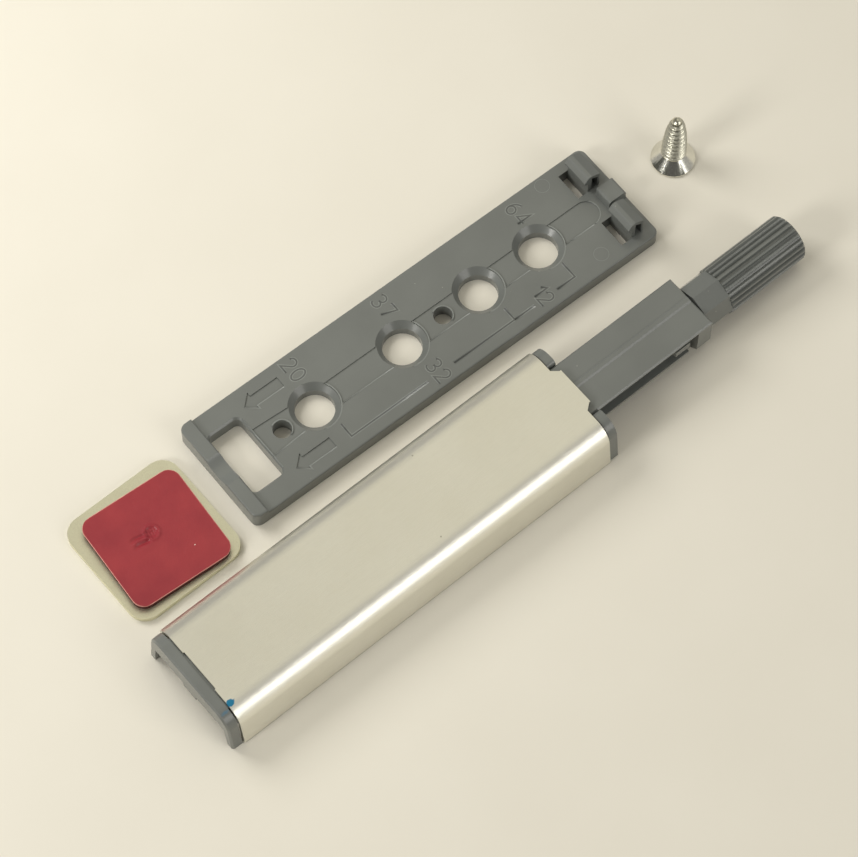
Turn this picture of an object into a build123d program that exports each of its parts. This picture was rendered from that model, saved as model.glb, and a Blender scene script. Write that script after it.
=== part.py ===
"""Push to open catch: sprung plunger unit, mounting plate, strike set and fixing screw.

Millimetres. X runs along the plunger, which points to +X, and +Z is up, away from the
panel. The origin is the centre of the housing's foot on the panel plane, z = 0.
The plunger stands out, as it does with the door open.
"""
import os
from math import atan2, cos, pi, radians, sin

from build123d import *

os.makedirs("parts", exist_ok=True)

# Housing and metal cover, seen along the plunger
catch_height = 8.8
foot_half_width = 10.2
crown_half_width = 9.25
crown_radius = 3.2
cover_gauge = 0.5
cover_fit = 0.1
skirt_lift = 0.2

# Housing and metal cover, along the plunger
housing_length = 74.6
rear_flange = 1.8
front_flange = 1.5
cover_end_gap = 0.25
flange_inset = 0.3
tab_length = 1.34
tab_root_half = 4.3
tab_tip_half = 3.4
tab_shoulder = 1.1
recess_half = 3.7
recess_depth = 0.2

# Rear flange: legs, web over the plate's hooks, and the nub between them
leg_thickness = 1.6
web_underside = 4.6
nub_width = 3.0
nub_drop = 1.0
flange_chamfer = 0.3

# Trough that the carriage runs in
trough_half = 6.2
trough_wall = 0.8
floor_thickness = 0.8
rear_wall_inset = 3.7
rear_wall = 1.2
mouth_half = 5.05
mouth_corner = 0.8
well_half = 3.0
well_length = 14.3
rib_thickness = 1.2
rib_count = 4
rib_inset = 13.3
ledge_reach = 0.9
ledge_bottom = 1.6
ledge_top = 2.7
ledge_inner = 3.0
ledge_outer = 7.6

# Carriage: shoe in the trough, grooved arm and head
shoe_clearance = 0.1
stop_gap = 0.2
shoe_length = 17.6
shoe_bottom = 1.1
carriage_top = 7.9
carriage_edge = 0.25
arm_half = 4.9
arm_reach = 19.5
arm_bottom = 3.4
arm_roof = 1.0
arm_rail = 0.5
groove_roof = 0.5
groove_depth = 1.3
arm_wall = 1.0
head_length = 3.5
head_chamfer = 1.2
crest_width = 1.2
crest_flat = 0.6
crest_height = 0.22
crest_offset = 0.4
notch_before_head = 1.0
notch_in_head = 0.7
tongue_length = 3.5
tongue_drop = 0.7
tongue_height = 1.3
tongue_slope = 0.7

# Plunger axis: rod, spring, tip and magnet share it
axis_height = 4.15
rod_radius = 0.9
rod_fit = 0.02
rod_gap = 1.3
rod_running = 0.25
rod_nose = 0.3
wire_diameter = 0.4
spring_radius = 1.55
spring_turns = 14
runs_in_turn = 10
wire_sides = 4
spring_packed = 16.4
spring_gap = 0.05
spring_bore = 2.05
spring_seat_depth = 4.0
bulkhead = 4.5

# Adjuster tip
neck_gap = 0.3
neck_length = 5.0
neck_sides = 8
tip_radius = 4.0
tip_length = 20.3
grip_ribs = 24
grip_root_width = 0.64
grip_crest_width = 0.3
grip_depth = 0.45
tip_rim = 0.4
shank_radius = 2.5
shank_length = 8.3
shank_running = 0.08
sleeve_radius = 3.0
sleeve_length = 6.3
cup_radius = 2.8
cup_depth = 3.2
cup_wall = 0.5
cup_running = 0.06
magnet_recess = 0.1
magnet_fit = 0.03

# Heart cam in the shoe and the wire follower that reads it
track_inner = 2.4
track_outer = 5.7
track_depth = 1.3
lane_width = 1.0
track_length = 6.9
gate_width = 1.7
heart_notch = 0.6
heart_point = 1.2
arm_relief = 2.3
wire_follower = 0.8
follower_reach = 10.0
follower_running = 0.1
follower_play = 0.4
follower_height = 1.6
pin_rise = 1.4
boss_wall = 0.7
boss_gap = 0.1
leaf_gauge = 0.2
leaf_width = 2.0
leaf_length = 5.0
leaf_gap = 0.15
leaf_tab = 0.6
leaf_setback = 2.5

# Mounting plate, in its own frame: x from the panel's front edge, top face at plate_top
plate_origin_x = -13.74
plate_origin_y = 25.34
plate_turn = -1.2
plate_front = 1.33
plate_length = 79.2
plate_width = 19.5
plate_top = 2.6
plate_corner = 1.3
plate_edge = 0.3
lip_width = 2.5
lip_height = 0.8
lip_round = 0.4
tip_clearance = 0.25
window_start = 3.9
window_length = 5.9
window_half = 5.9
window_corner = 1.0
window_lead = 0.3
screw_places = (20.0, 37.0, 52.0, 64.0)
hole_radius = 3.15
rim_radius = 4.15
peg_places = (13.8, 45.0)
peg_radius = 1.5
peg_depth = 1.0
arrow_tip = 11.5
arrow_length = 7.0
arrow_head = 1.85
arrow_head_half = 1.7
arrow_shaft_half = 1.0
arrow_offset = 6.5
arrow_depth = 0.2
strip_half = 2.2
strip_depth = 0.18
strip_setback = 4.73
strip_flare = 2.8
flare_length = 11.0
slot_setback = 6.13
slot_length = 1.9
slot_width = 5.0
slot_centre = 5.3
hook_depth = 2.3
hook_wall = 0.7
hook_width = 4.9
hook_height = 4.1
hook_fall = 0.8
hook_nose = 0.7
hook_nose_height = 1.0
hook_round = 0.45
hook_web = 1.5
hook_back_wall = 0.35
block_setback = 3.63
block_length = 3.4
block_half = 1.65
block_height = 2.0
block_round = 0.6

# Strike plate with its adhesive pad and release liner
strike_x = -25.72
strike_y = 23.8
strike_side = 20.2
strike_corner = 3.0
strike_gauge = 1.0
pad_x = -25.57
pad_y = 23.2
pad_turn = -4.1
pad_side = 17.0
pad_corner = 2.4
pad_thickness = 1.1
liner_side = 17.2
liner_thickness = 0.15

# Countersunk fixing screw, standing on its head
screw_gap = 11.17
screw_offset = 0.16
screw_height = 12.0
screw_head_radius = 3.65
screw_head_rim = 0.4
screw_cone = 2.0
screw_core = 1.3
screw_taper = 0.35
screw_point = 2.0
cross_width = 0.9
cross_length = 3.6
cross_depth = 1.4

# Places worked out from the sizes above
half_length = housing_length / 2
cover_start = -half_length + rear_flange + cover_end_gap
cover_end = half_length - front_flange - cover_end_gap
rear_wall_start = -half_length + rear_wall_inset
trough_start = rear_wall_start + rear_wall
trough_end = half_length - front_flange
trough_outer = trough_half + trough_wall
trough_top = catch_height - cover_gauge - cover_fit
shoe_half = trough_half - shoe_clearance
shoe_end = trough_end - stop_gap
shoe_start = shoe_end - shoe_length
spring_seat = shoe_start + spring_seat_depth
stroke = spring_seat - trough_start - spring_packed
channel_start = spring_seat + bulkhead
head_start = half_length + arm_reach
notch_start = head_start - notch_before_head
notch_end = head_start + notch_in_head
sleeve_start = head_start - sleeve_length
channel_half = arm_half - groove_depth - arm_wall
head_end = head_start + head_length
neck_start = head_end + neck_gap
grip_start = neck_start + neck_length
tip_end = neck_start + tip_length
shank_start = neck_start - shank_length
rod_end = shank_start - stroke - rod_gap
lean = atan2(foot_half_width - crown_half_width, catch_height)
plunger_axis = Plane(origin=(0, 0, axis_height), x_dir=(0, 1, 0), z_dir=(1, 0, 0))


def half_width(height, inset=0.0):
    """Half width of the leaning sides at one height, with the wall set in by inset."""
    taper = (foot_half_width - crown_half_width) * height / catch_height
    return foot_half_width - taper - inset / cos(lean)


def arch(x, inset=0.0, bottom=0.0):
    """Arched outline of the catch across the plunger, set in by inset."""
    top = catch_height - inset
    wide = half_width(bottom, inset)
    narrow = half_width(top, inset)
    with BuildSketch(Plane.YZ.offset(x)) as outline:
        Polygon((-wide, bottom), (wide, bottom), (narrow, top), (-narrow, top), align=None)
        fillet(outline.vertices().group_by(Axis.Y)[-1], crown_radius - inset)
    return outline.sketch


def cross_section(x, y_from, y_to, z_from, z_to):
    """Rectangle across the plunger at one place along it."""
    with BuildSketch(Plane.YZ.offset(x)) as outline:
        with Locations(((y_from + y_to) / 2, (z_from + z_to) / 2)):
            Rectangle(y_to - y_from, z_to - z_from)
    return outline.sketch


def disc(x, radius):
    """Circle about the plunger axis at one place along it."""
    with BuildSketch(plunger_axis.offset(x)) as outline:
        Circle(radius)
    return outline.sketch


# Housing: one moulding with two flanges, a trough and ribs that carry the cover
with BuildPart() as housing:
    extrude(arch(-half_length, flange_inset), amount=rear_flange)
    extrude(arch(trough_end, flange_inset), amount=front_flange)
    front_corners = housing.edges().filter_by(Axis.Y).group_by(Axis.Z)[-1].sort_by(Axis.X)
    chamfer(front_corners[0], length=flange_chamfer)
    trough_outer_start = -half_length + rear_flange
    extrude(
        cross_section(trough_outer_start, -trough_outer, trough_outer, 0, trough_top),
        amount=trough_end - trough_outer_start,
    )
    rib_pitch = (housing_length - 2 * rib_inset) / (rib_count - 1)
    for number in range(rib_count):
        rib_x = rib_inset - half_length + number * rib_pitch - rib_thickness / 2
        extrude(arch(rib_x, cover_gauge + cover_fit), amount=rib_thickness)
    extrude(
        cross_section(trough_start, -trough_half, trough_half, floor_thickness, catch_height),
        amount=trough_end - trough_start,
        mode=Mode.SUBTRACT,
    )
    extrude(
        cross_section(trough_end, -mouth_half, mouth_half, 0, catch_height),
        amount=front_flange,
        mode=Mode.SUBTRACT,
    )
    flange_top = catch_height - flange_inset
    ear_tops = housing.edges().filter_by(Axis.X).filter_by_position(Axis.Z, flange_top, flange_top)
    mouth_edges = ear_tops.filter_by_position(Axis.X, trough_end, half_length)
    fillet(mouth_edges.filter_by_position(Axis.Y, -mouth_half, mouth_half), mouth_corner)
    extrude(
        cross_section(trough_end - well_length, -well_half, well_half, 0, floor_thickness),
        amount=well_length,
        mode=Mode.SUBTRACT,
    )
    pocket_half = half_width(0, leg_thickness)
    with BuildSketch(Plane.YZ.offset(-half_length)) as hook_pocket:
        Polygon(
            (-pocket_half, 0),
            (pocket_half, 0),
            (half_width(web_underside, leg_thickness), web_underside),
            (-half_width(web_underside, leg_thickness), web_underside),
            align=None,
        )
    extrude(amount=rear_wall_inset, mode=Mode.SUBTRACT)
    extrude(
        cross_section(-half_length, -nub_width / 2, nub_width / 2, web_underside - nub_drop, web_underside),
        amount=rear_flange,
    )
    ledge_start = rear_wall_start - ledge_reach
    for side in (-1, 1):
        ledge = sorted((side * ledge_inner, side * ledge_outer))
        extrude(cross_section(ledge_start, ledge[0], ledge[1], ledge_bottom, ledge_top), amount=ledge_reach)
    gate_front = shoe_start - stroke + track_length - lane_width / 2
    follower_pivot_x = gate_front - follower_play - follower_reach
    follower_pivot_y = -track_inner - lane_width / 2
    boss_radius = wire_follower / 2 + follower_running + boss_wall
    boss_top = follower_height - wire_follower / 2 - boss_gap
    with BuildSketch(Plane.XY) as boss:
        with Locations((follower_pivot_x, follower_pivot_y)):
            Circle(boss_radius)
    extrude(amount=boss_top)
    with BuildSketch(Plane.XY) as boss_bore:
        with Locations((follower_pivot_x, follower_pivot_y)):
            Circle(wire_follower / 2 + follower_running)
    extrude(amount=boss_top, mode=Mode.SUBTRACT)
    extrude(disc(rear_wall_start, rod_radius + rod_fit), amount=rear_wall, mode=Mode.SUBTRACT)
    leaf_x = follower_pivot_x + leaf_setback
    with BuildSketch(Plane.XY) as leaf_slot:
        with Locations((leaf_x + leaf_gauge / 2, follower_pivot_y - leaf_width / 2)):
            Rectangle(leaf_gauge + 2 * rod_fit, leaf_width + 2 * rod_fit)
    extrude(amount=floor_thickness, mode=Mode.SUBTRACT)
housing.part.label = "housing"
export_step(housing.part, "parts/housing.step")

# Metal cover: one bent sheet with a tab over the plunger's mouth
with BuildPart() as metal_cover:
    cover_length = cover_end - cover_start
    extrude(arch(cover_start, 0, skirt_lift), amount=cover_length)
    extrude(arch(cover_start, cover_gauge, skirt_lift), amount=cover_length, mode=Mode.SUBTRACT)
    with BuildSketch(Plane.XY.offset(catch_height - cover_gauge)) as tab:
        with BuildLine():
            Polyline(
                (cover_end, -tab_root_half),
                (cover_end + tab_shoulder, -tab_tip_half),
                (cover_end + tab_length, -tab_tip_half),
                (cover_end + tab_length, tab_tip_half),
                (cover_end + tab_shoulder, tab_tip_half),
                (cover_end, tab_root_half),
                close=True,
            )
        make_face()
    extrude(amount=cover_gauge)
    with BuildSketch(Plane.XY.offset(catch_height - cover_gauge)) as edge_recess:
        with Locations((cover_start + recess_depth / 2, 0)):
            Rectangle(recess_depth, 2 * recess_half)
    extrude(amount=cover_gauge, mode=Mode.SUBTRACT)
metal_cover.part.label = "metal_cover"
export_step(metal_cover.part, "parts/metal_cover.step")

# Spring guide rod, pressed into the trough's rear wall
with BuildPart() as spring_guide_rod:
    extrude(disc(rear_wall_start, rod_radius), amount=rod_end - rear_wall_start)
    chamfer(spring_guide_rod.edges().sort_by(Axis.X)[-1], length=rod_nose)
spring_guide_rod.part.label = "spring_guide_rod"
export_step(spring_guide_rod.part, "parts/spring_guide_rod.step")

# Drive spring, from the rear wall to the seat in the shoe: each turn is a few straight runs of wire
with BuildPart() as drive_spring:
    coil_start = trough_start + spring_gap + wire_diameter / 2
    coil_length = spring_seat - spring_gap - wire_diameter / 2 - coil_start
    run_count = spring_turns * runs_in_turn
    coil_points = []
    for number in range(run_count + 1):
        turn = 2 * pi * number / runs_in_turn
        coil_points.append(
            (
                coil_start + coil_length * number / run_count,
                spring_radius * sin(turn),
                axis_height + spring_radius * cos(turn),
            )
        )
    with BuildLine() as coil:
        Polyline(*coil_points)
    with BuildSketch(Plane(origin=coil.line @ 0, z_dir=coil.line % 0)) as wire:
        RegularPolygon(wire_diameter / 2, wire_sides)
    sweep(path=coil.line, transition=Transition.RIGHT)
drive_spring.part.label = "drive_spring"
export_step(drive_spring.part, "parts/drive_spring.step")

# Wire follower: a pivot leg, a level arm and a pin that rides in the heart cam
with BuildPart() as latch_follower:
    follower_tip_x = follower_pivot_x + follower_reach
    wire_radius = wire_follower / 2
    with BuildSketch(Plane.XY.offset(follower_height - wire_radius)) as level_arm:
        with Locations(((follower_pivot_x + follower_tip_x) / 2, follower_pivot_y)):
            SlotCenterToCenter(follower_reach, wire_follower)
    extrude(amount=wire_follower)
    with BuildSketch(Plane.XY) as pivot_leg:
        with Locations((follower_pivot_x, follower_pivot_y)):
            Circle(wire_radius)
    extrude(amount=follower_height)
    with BuildSketch(Plane.XY.offset(follower_height)) as track_pin:
        with Locations((follower_tip_x, follower_pivot_y)):
            Circle(wire_radius)
    extrude(amount=pin_rise)
latch_follower.part.label = "latch_follower"
export_step(latch_follower.part, "parts/latch_follower.step")

# Leaf spring that keeps the follower's pin up in the cam
with BuildPart() as follower_spring:
    leaf_top = follower_height - wire_follower / 2 - leaf_gap
    with BuildSketch(Plane.XZ.offset(-follower_pivot_y)) as leaf_profile:
        with BuildLine():
            Polyline(
                (leaf_x, floor_thickness - leaf_tab),
                (leaf_x + leaf_gauge, floor_thickness - leaf_tab),
                (leaf_x + leaf_gauge, leaf_top - leaf_gauge),
                (leaf_x + leaf_length, leaf_top - leaf_gauge),
                (leaf_x + leaf_length, leaf_top),
                (leaf_x, leaf_top),
                close=True,
            )
        make_face()
    extrude(amount=leaf_width)
follower_spring.part.label = "follower_spring"
export_step(follower_spring.part, "parts/follower_spring.step")

# Carriage: shoe, grooved arm and head in one moulding
with BuildPart() as carriage:
    extrude(cross_section(shoe_start, -shoe_half, shoe_half, shoe_bottom, carriage_top), amount=shoe_length)
    extrude(
        cross_section(shoe_end, -arm_half, arm_half, arm_bottom, carriage_top),
        amount=head_start - shoe_end,
    )
    extrude(
        cross_section(channel_start, -channel_half, channel_half, shoe_bottom, carriage_top - arm_roof),
        amount=sleeve_start - channel_start,
        mode=Mode.SUBTRACT,
    )
    groove_top = carriage_top - groove_roof
    for side in (-1, 1):
        groove = sorted((side * (arm_half - groove_depth), side * arm_half))
        extrude(
            cross_section(shoe_end, groove[0], groove[1], arm_bottom + arm_rail, groove_top),
            amount=notch_start - shoe_end,
            mode=Mode.SUBTRACT,
        )
    extrude(disc(sleeve_start, sleeve_radius), amount=sleeve_length)
    with BuildSketch(Plane.YZ.offset(head_start)) as head_face:
        with Locations((0, (shoe_bottom + carriage_top) / 2)):
            Rectangle(2 * arm_half, carriage_top - shoe_bottom)
        chamfer(head_face.vertices().group_by(Axis.Y)[0], length=head_chamfer)
    extrude(amount=head_length)
    extrude(
        cross_section(notch_start, -arm_half, groove_depth - arm_half, shoe_bottom, groove_top),
        amount=notch_end - notch_start,
        mode=Mode.SUBTRACT,
    )
    tongue_root = groove_depth - arm_half
    tongue_top = groove_top - tongue_drop
    with BuildSketch(Plane.XY.offset(tongue_top - tongue_height)) as tongue:
        Polygon(
            (notch_start - tongue_length, tongue_root),
            (notch_start, tongue_root),
            (notch_start, -arm_half),
            (notch_start - tongue_length + tongue_slope, -arm_half),
            align=None,
        )
    extrude(amount=tongue_height)
    top_edges = carriage.edges().filter_by_position(Axis.Z, carriage_top, carriage_top)
    chamfer(top_edges.filter_by_position(Axis.X, shoe_end, head_end, (False, True)), length=carriage_edge)
    with BuildSketch(Plane.YZ.offset(shoe_end)) as crest:
        Polygon(
            (crest_offset - crest_width / 2, carriage_top),
            (crest_offset + crest_width / 2, carriage_top),
            (crest_offset + crest_flat / 2, carriage_top + crest_height),
            (crest_offset - crest_flat / 2, carriage_top + crest_height),
            align=None,
        )
    extrude(amount=head_end - carriage_edge - shoe_end)
    extrude(disc(shoe_start, spring_bore), amount=spring_seat_depth, mode=Mode.SUBTRACT)
    extrude(disc(spring_seat, rod_radius + rod_running), amount=bulkhead, mode=Mode.SUBTRACT)
    extrude(
        disc(sleeve_start, shank_radius + shank_running),
        amount=head_end - sleeve_start,
        mode=Mode.SUBTRACT,
    )
    # Heart cam: an island with a notched front in a pocket that opens to the rear
    track_front = shoe_start + track_length
    with BuildSketch(Plane.XY.offset(shoe_bottom)) as arm_space:
        with Locations(((shoe_start + track_front) / 2, -(track_inner + shoe_half) / 2)):
            Rectangle(track_length, shoe_half - track_inner)
    extrude(amount=arm_relief - shoe_bottom, mode=Mode.SUBTRACT)
    with BuildSketch(Plane.XY.offset(arm_relief)) as track:
        with Locations(((shoe_start + track_front) / 2, -(track_inner + track_outer) / 2)):
            Rectangle(track_length, track_outer - track_inner)
        island_inner = -track_inner - lane_width
        island_outer = -track_outer + lane_width
        island_middle = (island_inner + island_outer) / 2
        island_front = track_front - gate_width
        island_rear = shoe_start + heart_point
        Polygon(
            (island_rear, island_middle),
            (island_rear + heart_point, island_inner),
            (island_front, island_inner),
            (island_front - heart_notch, island_middle),
            (island_front, island_outer),
            (island_rear + heart_point, island_outer),
            align=None,
            mode=Mode.SUBTRACT,
        )
    extrude(amount=track_depth, mode=Mode.SUBTRACT)
carriage.part.label = "carriage"
export_step(carriage.part, "parts/carriage.step")

# Adjuster tip: threaded shank, octagonal neck and ribbed grip with a chamfered rim
with BuildPart() as adjuster_tip:
    extrude(disc(shank_start, shank_radius), amount=shank_length)
    with BuildSketch(plunger_axis.offset(neck_start)) as neck:
        RegularPolygon(tip_radius, neck_sides)
    extrude(amount=neck_length)
    with BuildSketch(plunger_axis.offset(grip_start)) as grip:
        Circle(tip_radius - grip_depth)
        with PolarLocations(tip_radius - grip_depth, grip_ribs):
            Polygon(
                (-grip_depth, -grip_root_width / 2),
                (0, -grip_root_width / 2),
                (grip_depth, -grip_crest_width / 2),
                (grip_depth, grip_crest_width / 2),
                (0, grip_root_width / 2),
                (-grip_depth, grip_root_width / 2),
                align=None,
            )
    extrude(amount=tip_end - grip_start)
    with BuildSketch(Plane.XZ) as rim_ring:
        Polygon(
            (tip_end - tip_rim, axis_height + tip_radius + tip_rim),
            (tip_end - tip_rim, axis_height + tip_radius),
            (tip_end, axis_height + tip_radius - tip_rim),
            (tip_end + tip_rim, axis_height + tip_radius),
            align=None,
        )
    revolve(axis=Axis((0, 0, axis_height), (1, 0, 0)), mode=Mode.SUBTRACT)
    extrude(disc(tip_end - cup_depth, cup_radius + cup_running), amount=cup_depth, mode=Mode.SUBTRACT)
adjuster_tip.part.label = "adjuster_tip"
export_step(adjuster_tip.part, "parts/adjuster_tip.step")

# Steel cup and round magnet in the end of the tip
cup_start = tip_end - cup_depth + cup_running
with BuildPart() as magnet_cup:
    extrude(disc(cup_start, cup_radius), amount=cup_depth - cup_running)
    extrude(disc(cup_start + cup_wall, cup_radius - cup_wall), amount=cup_depth, mode=Mode.SUBTRACT)
magnet_cup.part.label = "magnet_cup"
export_step(magnet_cup.part, "parts/magnet_cup.step")

with BuildPart() as tip_magnet:
    magnet_start = cup_start + cup_wall
    extrude(
        disc(magnet_start, cup_radius - cup_wall - magnet_fit),
        amount=tip_end - magnet_recess - magnet_start,
    )
tip_magnet.part.label = "tip_magnet"
export_step(tip_magnet.part, "parts/tip_magnet.step")

# Mounting plate
plate_angle = radians(plate_turn)
plate_x = Vector(cos(plate_angle), sin(plate_angle), 0)
plate_y = Vector(-sin(plate_angle), cos(plate_angle), 0)
plate_base = Plane(origin=(plate_origin_x, plate_origin_y, 0), x_dir=plate_x, z_dir=(0, 0, 1))


def plate_side(y):
    """Upright plane along the plate, at one distance across it, that faces away from +Y."""
    origin = Vector(plate_origin_x, plate_origin_y, 0) + plate_y * y
    return Plane(origin=origin, x_dir=plate_x, z_dir=plate_y * -1)


def arrow(side):
    """Outline of one arrow in the plate's top face; it points at the panel's front edge."""
    with BuildSketch(plate_base.offset(plate_top - arrow_depth)) as outline:
        with Locations((arrow_tip, side * arrow_offset)):
            Polygon(
                (0, 0),
                (arrow_head, -arrow_head_half),
                (arrow_head, -arrow_shaft_half),
                (arrow_length, -arrow_shaft_half),
                (arrow_length, arrow_shaft_half),
                (arrow_head, arrow_shaft_half),
                (arrow_head, arrow_head_half),
                align=None,
            )
    return outline.sketch


with BuildPart() as mounting_plate:
    plate_back = plate_front + plate_length
    with BuildSketch(plate_base) as plate_outline:
        with Locations((plate_front + plate_length / 2, 0)):
            RectangleRounded(plate_length, plate_width, plate_corner)
    extrude(amount=plate_top)
    fillet(mounting_plate.faces().sort_by(Axis.Z)[-1].edges(), plate_edge)
    with BuildSketch(plate_base) as window:
        with Locations((window_start + window_length / 2, 0)):
            RectangleRounded(window_length, 2 * window_half, window_corner)
    extrude(amount=plate_top, mode=Mode.SUBTRACT)
    chamfer(mounting_plate.faces().sort_by(Axis.Z)[-1].inner_wires().edges(), length=window_lead)
    with BuildSketch(plate_base.offset(plate_top - plate_edge)) as lip:
        with Locations((plate_front + plate_length / 2, 0)):
            RectangleRounded(plate_length, plate_width, plate_corner)
        with Locations((plate_front + lip_width / 2, 0)):
            Rectangle(lip_width, plate_width, mode=Mode.INTERSECT)
    extrude(amount=plate_edge + lip_height)
    fillet(mounting_plate.faces().sort_by(Axis.Z)[-1].edges(), lip_round)
    scoop_plane = Plane(
        origin=plate_base.from_local_coords((plate_front, 0, plate_top + axis_height)),
        x_dir=plate_y,
        z_dir=plate_x,
    )
    with BuildSketch(scoop_plane) as scoop:
        Circle(tip_radius + tip_clearance)
    extrude(amount=lip_width, mode=Mode.SUBTRACT)
    strip_start = window_start + window_length
    strip_end = plate_back - strip_setback
    with BuildSketch(plate_base.offset(plate_top - strip_depth)) as strip:
        Polygon(
            (strip_start, -strip_flare),
            (strip_start + flare_length, -strip_half),
            (strip_end - strip_half, -strip_half),
            (strip_end - strip_half, strip_half),
            (strip_start + flare_length, strip_half),
            (strip_start, strip_flare),
            align=None,
        )
        with Locations((strip_end - strip_half, 0)):
            Circle(strip_half)
    extrude(amount=strip_depth, mode=Mode.SUBTRACT)
    for side in (-1, 1):
        extrude(arrow(side), amount=arrow_depth, mode=Mode.SUBTRACT)
    slot_start = plate_back - slot_setback
    holes = [place for place in screw_places if place + rim_radius < slot_start]
    with BuildSketch(plate_base) as screw_holes:
        with Locations([(place, 0) for place in holes]):
            Circle(hole_radius)
    extrude(amount=plate_top, mode=Mode.SUBTRACT)
    rim_depth = rim_radius - hole_radius
    with BuildSketch(plate_base.offset(plate_top)) as rims:
        with Locations([(place, 0) for place in holes]):
            Circle(rim_radius)
    extrude(amount=-rim_depth, taper=45, mode=Mode.SUBTRACT)
    with BuildSketch(plate_base.offset(plate_top - peg_depth)) as peg_holes:
        with Locations([(place, 0) for place in peg_places]):
            Circle(peg_radius)
    extrude(amount=peg_depth, mode=Mode.SUBTRACT)
    with BuildSketch(plate_base) as slots:
        with Locations([(slot_start + slot_length / 2, side * slot_centre) for side in (-1, 1)]):
            Rectangle(slot_length, slot_width)
    extrude(amount=plate_top, mode=Mode.SUBTRACT)
    # Hooks: a front wall with a rounded nose, a top that falls to the back, and cored ends
    hook_start = slot_start + slot_length
    hook_back = hook_start + hook_depth
    hook_top = plate_top + hook_height
    nose_top = hook_top - hook_nose_height
    core_length = (hook_width - hook_web) / 2
    for side in (-1, 1):
        hook_side = side * slot_centre + hook_width / 2
        with BuildSketch(plate_side(hook_side)) as hook:
            Polygon(
                (hook_start, plate_top / 2),
                (hook_back, plate_top / 2),
                (hook_back, hook_top - hook_fall),
                (hook_start + hook_wall, hook_top),
                (hook_start, hook_top),
                (hook_start - hook_nose, nose_top),
                (hook_start - hook_nose, nose_top - hook_nose_height / 2),
                (hook_start, nose_top - hook_nose_height),
                align=None,
            )
            fillet(hook.vertices().group_by(Axis.Y)[-1], hook_round)
        extrude(amount=hook_width)
        for core_side in (hook_side, hook_side - hook_width + core_length):
            with BuildSketch(plate_side(core_side)) as core:
                Polygon(
                    (hook_start + hook_wall, plate_top),
                    (hook_back - hook_back_wall, plate_top),
                    (hook_back - hook_back_wall, hook_top - hook_fall - hook_wall),
                    (hook_start + hook_wall, hook_top - hook_wall),
                    align=None,
                )
            extrude(amount=core_length, mode=Mode.SUBTRACT)
    block_start = plate_back - block_setback
    with BuildSketch(plate_side(block_half)) as block:
        Polygon(
            (block_start, plate_top / 2),
            (block_start + block_length, plate_top / 2),
            (block_start + block_length, plate_top + block_height),
            (block_start, plate_top + block_height),
            align=None,
        )
        fillet(block.vertices().group_by(Axis.Y)[-1], block_round)
    extrude(amount=2 * block_half)
mounting_plate.part.label = "mounting_plate"
export_step(mounting_plate.part, "parts/mounting_plate.step")

# Strike set: steel plate, foam pad with adhesive, release liner
with BuildPart() as strike_plate:
    with BuildSketch(Plane(origin=(strike_x, strike_y, 0))) as strike_outline:
        RectangleRounded(strike_side, strike_side, strike_corner)
    extrude(amount=strike_gauge)
strike_plate.part.label = "strike_plate"
export_step(strike_plate.part, "parts/strike_plate.step")

pad_angle = radians(pad_turn)
pad_base = Plane(
    origin=(pad_x, pad_y, strike_gauge),
    x_dir=(cos(pad_angle), sin(pad_angle), 0),
    z_dir=(0, 0, 1),
)
with BuildPart() as adhesive_pad:
    with BuildSketch(pad_base) as pad_outline:
        RectangleRounded(pad_side, pad_side, pad_corner)
    extrude(amount=pad_thickness)
adhesive_pad.part.label = "adhesive_pad"
export_step(adhesive_pad.part, "parts/adhesive_pad.step")

with BuildPart() as release_liner:
    with BuildSketch(pad_base.offset(pad_thickness)) as liner_outline:
        RectangleRounded(liner_side, liner_side, pad_corner)
    extrude(amount=liner_thickness)
release_liner.part.label = "release_liner"
export_step(release_liner.part, "parts/release_liner.step")

# Countersunk screw, turned about its own axis, with a cross recess in the head
screw_foot = plate_base.from_local_coords((plate_back + screw_gap, screw_offset, 0))
with BuildPart() as mounting_screw:
    with BuildSketch(Plane(origin=screw_foot, x_dir=(1, 0, 0), z_dir=(0, -1, 0))) as half_profile:
        Polygon(
            (0, 0),
            (screw_head_radius, 0),
            (screw_head_radius, screw_head_rim),
            (screw_core, screw_head_rim + screw_cone),
            (screw_core - screw_taper, screw_height - screw_point),
            (0, screw_height),
            align=None,
        )
    revolve(axis=Axis(screw_foot, (0, 0, 1)))
    with BuildSketch(Plane(origin=screw_foot)) as cross:
        Rectangle(cross_length, cross_width)
        Rectangle(cross_width, cross_length)
    extrude(amount=cross_depth, mode=Mode.SUBTRACT)
mounting_screw.part.label = "mounting_screw"
export_step(mounting_screw.part, "parts/mounting_screw.step")
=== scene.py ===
# %% [markdown]
# # A push to open catch, laid out in its pieces
#
# The solids of the catch come ready made, at their real size, from the frame: the clad
# housing, the plunger, the mounting plate, the strike set and the screw. This lesson
# gives each of them its finish, and adds what is too fine for the solids: the moulded
# lines and numbers on the plate, the screw's thread, and the creased film on the pad.

import bmesh
import bpy
import numpy as np
from mathutils import Matrix, Vector


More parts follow.
